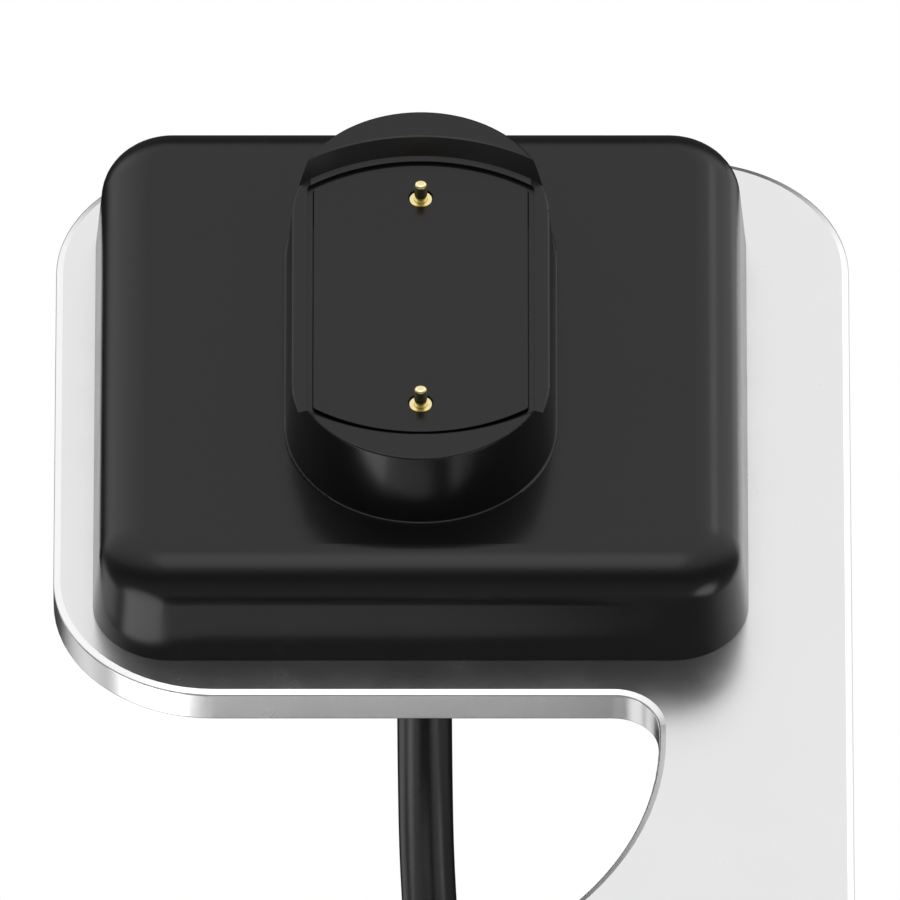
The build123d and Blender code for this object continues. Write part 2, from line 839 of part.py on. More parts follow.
contact_low = tongue_low + screw_gap + tongue_height
with BuildPart() as plug_contacts:
    with BuildSketch(plug_plane.offset(shell_start + tongue_shell_in)):
        with Locations((0, contact_low + contact_thickness / 2)):
            with GridLocations(contact_pitch, 0, 4, 1):
                Rectangle(contact_width, contact_thickness)
    extrude(amount=contact_length)
plug_contacts.part.label = "plug_contacts"


finished = [
    stand,
    *pads,
    housing_shell,
    housing_base,
    cradle,
    seat_plate,
    *barrels,
    *plungers,
    *springs,
    *magnets,
    circuit_board,
    board_parts,
    cradle_screws,
    board_screws,
    housing_screws,
    strain_relief,
    cable_end,
    *leads,
    cable_lead,
    cable_coil,
    cable_tie,
    cable_tail,
    plug_overmould,
    plug_shell,
    plug_insulator,
    plug_contacts,
]
os.makedirs("parts", exist_ok=True)
for piece in finished:
    export_step(piece.part, f"parts/{piece.part.label}.step")
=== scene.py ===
"""A smartwatch charging dock: a bent aluminium stand, a black housing with a raised
watch seat and two gold pins on its leaning plate, and a power lead with its plug."""

import math

import bmesh
import bpy
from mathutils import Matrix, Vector


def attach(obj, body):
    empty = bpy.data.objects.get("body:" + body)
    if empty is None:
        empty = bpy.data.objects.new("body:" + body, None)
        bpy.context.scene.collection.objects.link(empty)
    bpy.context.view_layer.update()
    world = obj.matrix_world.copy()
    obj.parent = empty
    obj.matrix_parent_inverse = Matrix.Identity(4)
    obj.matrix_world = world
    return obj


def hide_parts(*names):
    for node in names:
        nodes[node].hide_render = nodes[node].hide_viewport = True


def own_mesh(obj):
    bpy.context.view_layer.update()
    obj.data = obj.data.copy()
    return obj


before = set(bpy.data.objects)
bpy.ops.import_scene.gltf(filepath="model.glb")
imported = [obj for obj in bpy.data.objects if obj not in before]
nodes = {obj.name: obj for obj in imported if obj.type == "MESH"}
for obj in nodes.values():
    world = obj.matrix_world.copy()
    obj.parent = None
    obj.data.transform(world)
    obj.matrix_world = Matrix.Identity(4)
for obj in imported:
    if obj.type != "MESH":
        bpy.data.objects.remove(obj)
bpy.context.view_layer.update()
scene = bpy.context.scene
scene.view_settings.view_transform = "Standard"
MM = 0.001


# Studio. A white room for a catalogue picture: an even white ceiling, a dark wall behind
# the dock, soft lights low on both sides, and a pale floor that keeps the dock's shadow.
# The camera looks level from far away, so the picture has almost no perspective.
camera_aim = Vector((-0.21, 3.0, 68.40)) * MM
picture_height = 75.0 * MM
half_view = math.radians(0.61)
camera_distance = picture_height / 2 / math.tan(half_view)
camera_data = bpy.data.cameras.new("camera")
camera_data.sensor_width = 36.0
camera_data.lens = camera_data.sensor_width / 2 / math.tan(half_view)
camera_data.clip_start = 0.1
camera_data.clip_end = 30.0
camera = bpy.data.objects.new("camera", camera_data)
camera.location = camera_aim - Vector((0, camera_distance, 0))
camera.rotation_euler = (math.radians(90), 0, 0)
scene.collection.objects.link(camera)
scene.camera = camera


def add_node(tree, kind, inputs=None, **settings):
    """A node of one kind with its settings; each of its inputs gets a value or a link."""
    node = tree.nodes.new(kind)
    for name, value in settings.items():
        setattr(node, name, value)
    for name, value in (inputs or {}).items():
        if isinstance(value, bpy.types.NodeSocket):
            tree.links.new(value, node.inputs[name])
        else:
            node.inputs[name].default_value = value
    return node


def work_out(tree, operation, *values, vectors=False):
    """What a sum on numbers gives, or on vectors; each value may be a link."""
    kind = "ShaderNodeVectorMath" if vectors else "ShaderNodeMath"
    node = add_node(tree, kind, dict(enumerate(values)), operation=operation)
    gives_vector = vectors and operation not in ("DOT_PRODUCT", "LENGTH")
    return node.outputs["Vector" if gives_vector else "Value"]


def ramp(tree, value, start, end, low, high, shape="SMOOTHSTEP"):
    """A number that goes from low to high while a value goes from start to end."""
    spans = {"Value": value, "From Min": start, "From Max": end, "To Min": low, "To Max": high}
    node = add_node(tree, "ShaderNodeMapRange", spans, interpolation_type=shape)
    return node.outputs["Result"]


def add_light(tree, direction, glow, towards, full, faded, light):
    """Adds a round soft light to the room's glow; full and faded are its two radii in degrees."""
    aim = work_out(tree, "DOT_PRODUCT", direction, Vector(towards).normalized(), vectors=True)
    edge = math.cos(math.radians(faded))
    heart = math.cos(math.radians(full))
    return work_out(tree, "ADD", glow, ramp(tree, aim, edge, heart, 0.0, light))


def new_finish(name, colour, roughness, metallic=0.0, ior=1.5):
    """A material of one colour and gloss, and its shader."""
    material = bpy.data.materials.new(name)
    material.use_nodes = True
    shader = material.node_tree.nodes["Principled BSDF"]
    shader.inputs["Base Color"].default_value = (*colour, 1.0)
    shader.inputs["Roughness"].default_value = roughness
    shader.inputs["Metallic"].default_value = metallic
    shader.inputs["IOR"].default_value = ior
    return material, shader


world = bpy.data.worlds.new("white_room")
world.use_nodes = True
scene.world = world
room = world.node_tree
room.nodes.clear()
direction = add_node(room, "ShaderNodeTexCoord").outputs["Generated"]
way = add_node(room, "ShaderNodeSeparateXYZ", {"Vector": direction}).outputs
wall_light = [(-1.0, 0.45), (-0.8, 0.42), (-0.45, 0.32), (-0.15, 0.16), (0.1, 0.2)]
wall_light += [(0.25, 0.5), (0.4, 0.76), (0.6, 0.95), (0.85, 1.04), (0.94, 1.02), (1.0, 0.85)]
walls = add_node(room, "ShaderNodeFloatCurve", {"Value": way["Z"]})
walls.mapping.use_clip = False
walls_curve = walls.mapping.curves[0]
walls_curve.points[0].location = wall_light[0]
walls_curve.points[1].location = wall_light[1]
for height, light in wall_light[2:]:
    walls_curve.points.new(height, light)
walls.mapping.update()

rear_wall_slant = -0.7
rear_wall_edge = 0.05
rear_wall_full = 0.42
rear_wall_light = 0.08
sideways = work_out(room, "ABSOLUTE", way["X"])
behind = work_out(room, "MULTIPLY_ADD", sideways, rear_wall_slant, way["Y"])
rear_wall = ramp(room, behind, rear_wall_edge, rear_wall_full, 1.0, rear_wall_light)
glow = work_out(room, "MULTIPLY", walls.outputs["Value"], rear_wall)
soft_lights = [
    ((0, -0.766, 0.643), 8, 24, 0.7),
    ((0.5, 0.13, 0.855), 3, 9, 0.8),
    ((0.6, 0.76, 0.25), 6, 15, 0.7),
    ((-0.53, -0.045, -0.847), 20, 31, 1.75),
    ((-0.72, 0.64, -0.26), 6, 22, 0.6),
    ((0.72, -0.22, -0.64), 9, 21, 1.9),
]
for towards, full, faded, light in soft_lights:
    glow = add_light(room, direction, glow, towards, full, faded, light)

white = (1.0, 1.0, 1.0, 1.0)
plain_light = add_node(room, "ShaderNodeBackground", {"Color": white, "Strength": 0.95})
mirrored_light = add_node(room, "ShaderNodeBackground", {"Color": white, "Strength": glow})
backdrop = add_node(room, "ShaderNodeBackground", {"Color": white, "Strength": 1.0})
ray = add_node(room, "ShaderNodeLightPath").outputs
lights = {1: plain_light.outputs["Background"], 2: mirrored_light.outputs["Background"]}
for_gloss = add_node(room, "ShaderNodeMixShader", {"Fac": ray["Is Glossy Ray"], **lights})
views = {1: for_gloss.outputs["Shader"], 2: backdrop.outputs["Background"]}
for_camera = add_node(room, "ShaderNodeMixShader", {"Fac": ray["Is Camera Ray"], **views})
add_node(room, "ShaderNodeOutputWorld", {"Surface": for_camera.outputs["Shader"]})

floor_reach = 450.0 * MM
floor_corners = [(-1, -1, 0), (1, -1, 0), (1, 1, 0), (-1, 1, 0)]
floor_mesh = bpy.data.meshes.new("floor")
floor_mesh.from_pydata([Vector(c) * floor_reach for c in floor_corners], [], [(0, 1, 2, 3)])
floor = bpy.data.objects.new("floor", floor_mesh)
scene.collection.objects.link(floor)
floor_paint, floor_shader = new_finish("floor_paint", (0.8, 0.8, 0.8), 0.6)
floor_tree = floor_paint.node_tree
unmirrored = add_node(floor_tree, "ShaderNodeBsdfTransparent").outputs["BSDF"]
floor_ray = add_node(floor_tree, "ShaderNodeLightPath").outputs["Is Glossy Ray"]
floor_sides = {"Fac": floor_ray, 1: floor_shader.outputs["BSDF"], 2: unmirrored}
floor_choice = add_node(floor_tree, "ShaderNodeMixShader", floor_sides)
floor_output = floor_tree.nodes["Material Output"]
floor_tree.links.new(floor_choice.outputs["Shader"], floor_output.inputs["Surface"])
floor_mesh.materials.append(floor_paint)


# Stand. One 3 mm aluminium sheet, cut to shape, bevelled along its outer edge and bent
# round its nose, then blasted with fine beads and anodised clear. The beads leave dimples
# of a tenth of a millimetre, and the anodising a faint cloudiness.
usual_low = 0.3
usual_high = 0.7


def cloud(tree, size, stretch=(1, 1, 1)):
    """A noise with patches size millimetres wide; it mostly lies between the usual low and high."""
    place = add_node(tree, "ShaderNodeTexCoord").outputs["Object"]
    scale = Vector(stretch) / (size * MM)
    scaled = add_node(tree, "ShaderNodeMapping", {"Vector": place, "Scale": scale})
    waves = {"Vector": scaled.outputs["Vector"], "Scale": 1.0, "Detail": 2.0}
    return add_node(tree, "ShaderNodeTexNoise", waves).outputs["Fac"]


def mix_colour(shader, share, dark, pale):
    """Lets the colour go from dark to pale as a pattern's share goes from nought to one."""
    tree = shader.id_data
    colours = {"Factor": share, "A": (*dark, 1.0), "B": (*pale, 1.0)}
    blend = add_node(tree, "ShaderNodeMix", colours, data_type="RGBA")
    tree.links.new(blend.outputs["Result"], shader.inputs["Base Color"])


def vary_colour(shader, size, dark, pale, stretch=(1, 1, 1)):
    """Lets the colour drift between dark and pale over patches of size millimetres."""
    mix_colour(shader, cloud(shader.id_data, size, stretch), dark, pale)


def vary_gloss(shader, size, low, high, stretch=(1, 1, 1)):
    """Lets the roughness drift between low and high over patches of size millimetres."""
    tree = shader.id_data
    noise = cloud(tree, size, stretch)
    drift = ramp(tree, noise, usual_low, usual_high, low, high, shape="LINEAR")
    tree.links.new(drift, shader.inputs["Roughness"])


def add_relief(shader, pattern, depth):
    """Raises the surface where a pattern is pale, by depth millimetres."""
    tree = shader.id_data
    bump = add_node(tree, "ShaderNodeBump", {"Height": pattern, "Distance": depth * MM})
    earlier = shader.inputs["Normal"].links
    if earlier:
        tree.links.new(earlier[0].from_socket, bump.inputs["Normal"])
    tree.links.new(bump.outputs["Normal"], shader.inputs["Normal"])


def add_grain(shader, size, depth, stretch=(1, 1, 1)):
    """Makes the surface uneven by depth millimetres over patches of size millimetres."""
    add_relief(shader, cloud(shader.id_data, size, stretch), depth)


def dress(material, *names):
    """Gives CAD nodes their material."""
    for name in names:
        mesh = nodes[name].data
        mesh.materials.clear()
        mesh.materials.append(material)


anodised, shader = new_finish("clear_anodised_aluminium", (0.9, 0.9, 0.905), 0.25, metallic=1.0)
vary_colour(shader, 9.0, (0.89, 0.89, 0.895), (0.91, 0.91, 0.915))
vary_gloss(shader, 4.0, 0.235, 0.275)
add_grain(shader, 0.17, 0.0014)
dress(anodised, "stand")


# Foot pads. Four soft silicone discs, cast in grey and glued under the foot. Their faces
# are matt, with the slight unevenness of cast silicone.
silicone, shader = new_finish("grey_silicone", (0.06, 0.06, 0.062), 0.7, ior=1.41)
vary_colour(shader, 1.5, (0.052, 0.052, 0.054), (0.07, 0.07, 0.072))
vary_gloss(shader, 0.8, 0.6, 0.8)
add_grain(shader, 0.4, 0.015)
dress(silicone, *[name for name in nodes if name.startswith("foot_pad")])


# Housing. Two moulded black covers: the shell with its drafted and rounded block form,
# and the flat base in its open back. Four screws hold both from behind the head plate.
# The mould was spark-eroded to a satin grain, too fine to see from an arm's length.
housing_black, shader = new_finish("black_housing", (0.004, 0.004, 0.0041), 0.22, ior=1.43)
vary_colour(shader, 12.0, (0.0036, 0.0036, 0.0037), (0.0044, 0.0044, 0.0045))
vary_gloss(shader, 5.0, 0.205, 0.235)
add_grain(shader, 0.18, 0.0012)
dress(housing_black, "housing_shell", "housing_base")


# Seat plate. The inset plate in the middle of the cradle, moulded in black like the
# housing but with a closer grain. It carries the two pins, level with the cradle's rim.
seat_black, shader = new_finish("black_seat_plate", (0.004, 0.004, 0.0041), 0.22, ior=1.43)
vary_colour(shader, 7.0, (0.0036, 0.0036, 0.0037), (0.0044, 0.0044, 0.0045))
vary_gloss(shader, 3.0, 0.205, 0.235)
add_grain(shader, 0.13, 0.0009)
dress(seat_black, "seat_plate")


# Cradle. The raised seat for the watch's back, moulded in black round the seat plate,
# with a fine seam between them. The narrow ledges under its two lips are painted paler:
# a painted highlight that stands in for the light they catch.
slant = math.sqrt(0.5)
seat_axis = Vector((0, -slant, slant))
up_the_slope = Vector((0, slant, slant))
head_middle = Vector((-2.65, 13.83, 70.47))
cradle_rise = 0.2
cradle_centre = head_middle + up_the_slope * cradle_rise
rim_height = 14.75
rim_margin = 0.03
ledge_radius = 16.58
ledge_half_width = 0.30
ledge_half_length = 9.2
cradle_black, shader = new_finish("black_cradle", (0.004, 0.004, 0.0041), 0.22, ior=1.43)
vary_gloss(shader, 4.0, 0.205, 0.235)
add_grain(shader, 0.15, 0.001)
dress(cradle_black, "cradle")

cradle_tree = cradle_black.node_tree
cradle_place = add_node(cradle_tree, "ShaderNodeTexCoord").outputs["Object"]
from_centre = work_out(cradle_tree, "SUBTRACT", cradle_place, cradle_centre * MM, vectors=True)
off_axis = work_out(cradle_tree, "CROSS_PRODUCT", from_centre, seat_axis, vectors=True)
reach = work_out(cradle_tree, "LENGTH", off_axis, vectors=True)
out_of_plate = work_out(cradle_tree, "DOT_PRODUCT", from_centre, seat_axis, vectors=True)
across = add_node(cradle_tree, "ShaderNodeSeparateXYZ", {"Vector": from_centre}).outputs["X"]
in_ring = work_out(cradle_tree, "COMPARE", reach, ledge_radius * MM, ledge_half_width * MM)
at_rim = work_out(cradle_tree, "COMPARE", out_of_plate, rim_height * MM, rim_margin * MM)
under_lip = work_out(cradle_tree, "COMPARE", across, 0.0, ledge_half_length * MM)
ring_at_rim = work_out(cradle_tree, "MULTIPLY", in_ring, at_rim)
painted_ledge_highlight = work_out(cradle_tree, "MULTIPLY", ring_at_rim, under_lip)
# Painted highlight: the ledges under the lips get a paler colour than the rest of the cradle.
mix_colour(shader, painted_ledge_highlight, (0.0045, 0.0045, 0.0046), (0.04, 0.04, 0.0405))


# Contact pins. Turned brass barrels with sprung plungers, both plated with bright gold.
# The lathe leaves rings a few hundredths of a millimetre apart round each of them.
ring_pitch = 0.045
gold, shader = new_finish("gold_plate", (1.0, 0.87, 0.47), 0.16, metallic=1.0)
vary_gloss(shader, 0.5, 0.13, 0.2)
gold_tree = gold.node_tree
gold_place = add_node(gold_tree, "ShaderNodeTexCoord").outputs["Object"]
ring_waves = seat_axis * (2 * math.pi / (ring_pitch * MM))
along_pin = work_out(gold_tree, "DOT_PRODUCT", gold_place, ring_waves, vectors=True)
add_relief(shader, work_out(gold_tree, "SINE", along_pin), 0.0004)
dress(gold, *[name for name in nodes if name.startswith(("pin_barrel", "pin_plunger"))])


# Pin springs. Coils of drawn steel wire, one in each barrel, between its floor and its
# plunger, made at rest; in use they shorten as the watch presses the pins in. The drawing leaves
# faint lines.
pin_pitch = 24.24
spring_wire = 0.16
spring_turns = 4.5
spring_radius = 0.5
spring_length = 4.41
spring_floor = 8.25
steps_per_turn = 24
wire_sides = 10
spring_steel, shader = new_finish("spring_steel", (0.42, 0.42, 0.43), 0.25, metallic=1.0)
vary_colour(shader, 0.3, (0.38, 0.38, 0.39), (0.48, 0.48, 0.49))
vary_gloss(shader, 0.15, 0.2, 0.32)
add_grain(shader, 0.04, 0.0005)


def begin_form(name, kinds):
    """A Geometry Nodes tree with an input of each kind, and the links that they give."""
    tree = bpy.data.node_groups.new(name, "GeometryNodeTree")
    tree.interface.new_socket("Geometry", in_out="OUTPUT", socket_type="NodeSocketGeometry")
    for label, kind in kinds.items():
        tree.interface.new_socket(label, in_out="INPUT", socket_type=f"NodeSocket{kind}")
    return tree, add_node(tree, "NodeGroupInput").outputs


def end_form(tree, geometry, material):
    """Ends a tree: every copy is made real and gets its material."""
    real = add_node(tree, "GeometryNodeRealizeInstances", {"Geometry": geometry})
    surface = {"Geometry": real.outputs["Geometry"], "Material": material}
    dressed = add_node(tree, "GeometryNodeSetMaterial", surface)
    add_node(tree, "NodeGroupOutput", {"Geometry": dressed.outputs["Geometry"]})


def settle(piece):
    """Turns what a piece's modifiers make into its own plain mesh."""
    seen = bpy.context.evaluated_depsgraph_get()
    mesh = bpy.data.meshes.new_from_object(piece.evaluated_get(seen))
    mesh.name = piece.name
    piece.modifiers.clear()
    piece.data = mesh


def make_piece(name, tree, values):
    """A piece with the plain mesh that a tree makes from the values of its inputs."""
    piece = bpy.data.objects.new(name, bpy.data.meshes.new(name))
    scene.collection.objects.link(piece)
    maker = piece.modifiers.new(tree.name, "NODES")
    maker.node_group = tree
    for socket in tree.interface.items_tree:
        if socket.in_out == "INPUT":
            maker[socket.identifier] = values[socket.name]
    settle(piece)
    return piece


spring_kinds = {"Foot": "Vector", "Turns": "Float", "Coil radius": "Float", "Height": "Float"}
spring_kinds.update({"Wire radius": "Float", "Steel": "Material"})
spring_tree, given = begin_form("coil_spring", spring_kinds)
spring_sizes = {
    "Resolution": steps_per_turn,
    "Rotations": given["Turns"],
    "Start Radius": given["Coil radius"],
    "End Radius": given["Coil radius"],
    "Height": given["Height"],
}
spring_line = add_node(spring_tree, "GeometryNodeCurveSpiral", spring_sizes)
wire_sizes = {"Resolution": wire_sides, "Radius": given["Wire radius"]}
wire_round = add_node(spring_tree, "GeometryNodeCurvePrimitiveCircle", wire_sizes, mode="RADIUS")
spring_curves = {"Curve": spring_line.outputs["Curve"], "Profile Curve": wire_round.outputs["Curve"]}
spring_coil = add_node(spring_tree, "GeometryNodeCurveToMesh", {**spring_curves, "Fill Caps": True})
spring_stand = {"Translation": given["Foot"], "Rotation": (math.radians(45), 0, 0)}
spring_stand["Geometry"] = spring_coil.outputs["Mesh"]
spring_placed = add_node(spring_tree, "GeometryNodeTransform", spring_stand)
end_form(spring_tree, spring_placed.outputs["Geometry"], given["Steel"])

for place, up in (("upper", pin_pitch / 2), ("lower", -pin_pitch / 2)):
    barrel_floor = head_middle + up_the_slope * up + seat_axis * spring_floor
    spring_values = {
        "Foot": (barrel_floor + seat_axis * spring_wire) * MM,
        "Turns": spring_turns,
        "Coil radius": spring_radius * MM,
        "Height": (spring_length - 2 * spring_wire) * MM,
        "Wire radius": spring_wire / 2 * MM,
        "Steel": spring_steel,
    }
    spring = make_piece(f"coil_spring_{place}", spring_tree, spring_values)
    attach(spring, "dock")
    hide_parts(f"pin_spring_{place}")
    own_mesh(spring)


# Magnets. Two sintered discs under the seat plate, nickel plated, with the grainy skin
# of pressed powder under the plate.
nickel, shader = new_finish("nickel_plate", (0.62, 0.6, 0.57), 0.2, metallic=1.0)
vary_colour(shader, 2.0, (0.58, 0.56, 0.53), (0.66, 0.64, 0.61))
vary_gloss(shader, 1.0, 0.15, 0.28)
add_grain(shader, 0.25, 0.003)
dress(nickel, "magnet_upper", "magnet_lower")


# Circuit board. Glass laminate under green solder mask, with copper tracks that show
# through the mask as paler lines, and the glass weave as a fine unevenness.
track_spacing = 2.2
track_half_width = 0.07
track_edge = 0.09
laminate, shader = new_finish("green_laminate", (0.01, 0.12, 0.045), 0.3)
board_tree = laminate.node_tree
board_place = add_node(board_tree, "ShaderNodeTexCoord").outputs["Object"]
track_cells = {"Vector": board_place, "Scale": 1 / (track_spacing * MM)}
cells = add_node(board_tree, "ShaderNodeTexVoronoi", track_cells, feature="DISTANCE_TO_EDGE")
off_track = cells.outputs["Distance"]
tracks = ramp(board_tree, off_track, track_half_width, track_edge, 1.0, 0.0, shape="LINEAR")
mix_colour(shader, tracks, (0.008, 0.1, 0.038), (0.03, 0.22, 0.08))
add_relief(shader, tracks, 0.03)
add_grain(shader, 0.5, 0.004)
dress(laminate, "circuit_board")


# Board parts. Moulded chips and ceramic capacitors, soldered beside the pins' tails.
# The epoxy is dull and slightly mottled.
epoxy, shader = new_finish("black_epoxy", (0.03, 0.03, 0.031), 0.55)
vary_colour(shader, 1.6, (0.022, 0.022, 0.023), (0.055, 0.045, 0.035))
vary_gloss(shader, 0.5, 0.45, 0.65)
add_grain(shader, 0.12, 0.006)
dress(epoxy, "board_parts")


# Screws inside the housing. Small zinc plated screws for the cradle and the board, with
# the slight rainbow blotches of a passivated plate.
zinc, shader = new_finish("zinc_plate", (0.6, 0.61, 0.63), 0.3, metallic=1.0)
vary_colour(shader, 0.8, (0.54, 0.57, 0.63), (0.66, 0.65, 0.6))
vary_gloss(shader, 0.4, 0.24, 0.4)
add_grain(shader, 0.1, 0.002)
dress(zinc, "cradle_screws", "board_screws")


# Housing screws. Four countersunk hexagon socket screws in the back of the head plate,
# blackened and lightly oiled.
blackened, shader = new_finish("blackened_steel", (0.035, 0.035, 0.037), 0.35, metallic=0.8)
vary_colour(shader, 0.7, (0.028, 0.028, 0.03), (0.05, 0.048, 0.046))
vary_gloss(shader, 0.35, 0.28, 0.45)
add_grain(shader, 0.08, 0.003)
dress(blackened, "housing_screws")


# Inner leads. Two cores of the power lead, with thin vinyl insulation in red and black,
# soldered to the board behind the strain relief.
red_vinyl, shader = new_finish("red_insulation", (0.45, 0.012, 0.01), 0.35)
vary_colour(shader, 0.6, (0.4, 0.01, 0.008), (0.5, 0.016, 0.013))
vary_gloss(shader, 0.4, 0.3, 0.42)
add_grain(shader, 0.1, 0.002)
dress(red_vinyl, "lead_positive")
black_vinyl, shader = new_finish("black_insulation", (0.008, 0.008, 0.008), 0.35)
vary_colour(shader, 0.6, (0.006, 0.006, 0.006), (0.012, 0.012, 0.012))
vary_gloss(shader, 0.4, 0.3, 0.42)
add_grain(shader, 0.1, 0.002)
dress(black_vinyl, "lead_negative")


# Strain relief. A grooved boot of soft rubber, snapped into the head plate's hole, with
# the matt skin that such a boot has.
soft_black, shader = new_finish("soft_black_rubber", (0.012, 0.012, 0.0125), 0.5, ior=1.48)
vary_colour(shader, 2.5, (0.010, 0.010, 0.0105), (0.015, 0.015, 0.0155))
vary_gloss(shader, 1.0, 0.44, 0.56)
add_grain(shader, 0.16, 0.006)
dress(soft_black, "strain_relief")


# Power lead. A soft round vinyl jacket, straight out of the strain relief, down behind
# the stand into a coil of six turns on the desk, and on to the plug beside it. The coil
# holds the length that the photograph doesn't show.
jacket, shader = new_finish("black_jacket", (0.0045, 0.0045, 0.0046), 0.25, ior=1.43)
vary_gloss(shader, 3.0, 0.23, 0.28)
add_grain(shader, 0.25, 0.003)
dress(jacket, "cable_end")
cable_diameter = 4.6
lead_exit = Vector((-2.35, 12.13, 51.81))
straight_out = 12.0
coil_centre = Vector((0, 80.2, 0))
coil_outer_turn = 30.9
turn_pitch = 4.75
turns = 6.111
coil_floor = 2.7
coil_rise = 4.7
climb_turns = 0.6
points_per_turn = 16
first_angle = -35.0
lead_points = [
    lead_exit,
    lead_exit - seat_axis * straight_out,
    Vector((-2.1, 28.0, 31.0)),
    Vector((-0.8, 35.5, 18.0)),
    Vector((7.0, 43.0, 8.5)),
    Vector((16.8, 51.6, 3.6)),
]
coil_points = []
coil_steps = round(turns * points_per_turn)
for step in range(coil_steps + 1):
    turn = turns * step / coil_steps
    angle = math.radians(first_angle + 360 * turn)
    radius = coil_outer_turn - turn_pitch * min(turn, turns - turn)
    climb = min(max((turn - turns / 2) / climb_turns + 0.5, 0), 1)
    lift = coil_rise * climb * climb * (3 - 2 * climb)
    around = Vector((math.cos(angle), math.sin(angle), 0)) * radius
    coil_points.append(coil_centre + around + Vector((0, 0, coil_floor + lift)))
tail_points = [
    coil_centre + Vector((29.9, 13.2, 7.0)),
    coil_centre + Vector((29.0, 23.6, 4.4)),
    coil_centre + Vector((24.65, 32.4, 2.6)),
    coil_centre + Vector((17.5, 39.0, 2.6)),
    coil_centre + Vector((8.4, 42.5, 3.8)),
    coil_centre + Vector((-1.3, 42.5, 3.8)),
]
route = lead_points + coil_points + tail_points
cable_curve = bpy.data.curves.new("power_cable", "CURVE")
cable_curve.dimensions = "3D"
cable_curve.bevel_depth = cable_diameter / 2 * MM
cable_curve.bevel_resolution = 6
cable_curve.resolution_u = 6
cable_curve.use_fill_caps = True
spline = cable_curve.splines.new("NURBS")
spline.points.add(len(route) - 1)
for point, place in zip(spline.points, route):
    point.co = (*(place * MM), 1.0)
spline.order_u = 3
spline.use_endpoint_u = True
cable = bpy.data.objects.new("power_cable", cable_curve)
scene.collection.objects.link(cable)
cable_curve.materials.append(jacket)
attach(cable, "dock")
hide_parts("cable_lead", "cable_coil", "cable_tail")


# Cable tie. A flat vinyl strip with a steel wire along its middle, wrapped round the
# coil, with its two ends twisted together and laid down on the turns.
tie_angle = math.radians(200.0)
tie_radius = 23.64
tie_side = Vector((math.cos(tie_angle), math.sin(tie_angle), 0))
tie_run = Vector((-math.sin(tie_angle), math.cos(tie_angle), 0))
tie_middle = coil_centre + tie_side * tie_radius
wire_top = 0.15
wire_foot = 0.65
wire_height = 0.3
tie_vinyl, shader = new_finish("tie_vinyl", (0.012, 0.012, 0.012), 0.38)
vary_gloss(shader, 1.2, 0.32, 0.46)
tie_tree = tie_vinyl.node_tree
tie_place = add_node(tie_tree, "ShaderNodeTexCoord").outputs["Object"]
along_coil = work_out(tie_tree, "DOT_PRODUCT", tie_place, tie_run, vectors=True)
off_middle = work_out(tie_tree, "SUBTRACT", along_coil, tie_middle.dot(tie_run) * MM)
off_wire = work_out(tie_tree, "ABSOLUTE", off_middle)
wire = ramp(tie_tree, off_wire, wire_top * MM, wire_foot * MM, 1.0, 0.0)
add_relief(shader, wire, wire_height)
add_grain(shader, 0.3, 0.006)
dress(tie_vinyl, "cable_tie")

twist_height = 11.0
twist_start = 0.4
twist_length = 15.0
twist_turns = 2.5
twist_steps = 64
strip_width = 2.2
strip_thickness = 0.5
strip_spacing = 1.1
twist_kinds = {"Start": "Vector", "Direction": "Vector", "Length": "Float", "Turns": "Float"}
twist_kinds.update({"Strip width": "Float", "Strip thickness": "Float", "Vinyl": "Material"})
twist_tree, given = begin_form("twisted_ends", twist_kinds)
twist_way = {name: given[name] for name in ("Start", "Direction", "Length")}
twist_line = add_node(twist_tree, "GeometryNodeCurvePrimitiveLine", twist_way, mode="DIRECTION")
twist_parts = {"Curve": twist_line.outputs["Curve"], "Count": twist_steps}
twist_divided = add_node(twist_tree, "GeometryNodeResampleCurve", twist_parts)
twist_share = add_node(twist_tree, "GeometryNodeSplineParameter").outputs["Factor"]
twist_turned = work_out(twist_tree, "MULTIPLY", twist_share, given["Turns"])
twist_angle = work_out(twist_tree, "MULTIPLY", twist_turned, 2 * math.pi)
twist_turning = {"Curve": twist_divided.outputs["Curve"], "Tilt": twist_angle}
twist_tilt = add_node(twist_tree, "GeometryNodeSetCurveTilt", twist_turning)
strip_sizes = {"Width": given["Strip width"], "Height": given["Strip thickness"]}
strip = add_node(twist_tree, "GeometryNodeCurvePrimitiveQuadrilateral", strip_sizes)
strip_pair = add_node(twist_tree, "GeometryNodeJoinGeometry")
for side in (strip_spacing / 2, -strip_spacing / 2):
    apart = work_out(twist_tree, "MULTIPLY", given["Strip thickness"], side)
    shift = add_node(twist_tree, "ShaderNodeCombineXYZ", {"Y": apart}).outputs["Vector"]
    strip_place = {"Geometry": strip.outputs["Curve"], "Translation": shift}
    moved = add_node(twist_tree, "GeometryNodeTransform", strip_place)
    twist_tree.links.new(moved.outputs["Geometry"], strip_pair.inputs["Geometry"])
twist_curves = {"Curve": twist_tilt.outputs["Curve"], "Profile Curve": strip_pair.outputs["Geometry"]}
twist_solid = add_node(twist_tree, "GeometryNodeCurveToMesh", {**twist_curves, "Fill Caps": True})
end_form(twist_tree, twist_solid.outputs["Mesh"], given["Vinyl"])

twist_vinyl, shader = new_finish("twist_vinyl", (0.012, 0.012, 0.012), 0.38)
vary_gloss(shader, 1.2, 0.32, 0.46)
add_grain(shader, 0.3, 0.006)
twist_values = {
    "Start": (tie_middle + Vector((0, 0, twist_height)) + tie_run * twist_start) * MM,
    "Direction": tie_run,
    "Length": twist_length * MM,
    "Turns": twist_turns,
    "Strip width": strip_width * MM,
    "Strip thickness": strip_thickness * MM,
    "Vinyl": twist_vinyl,
}
twist = make_piece("tie_twist", twist_tree, twist_values)
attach(twist, "dock")


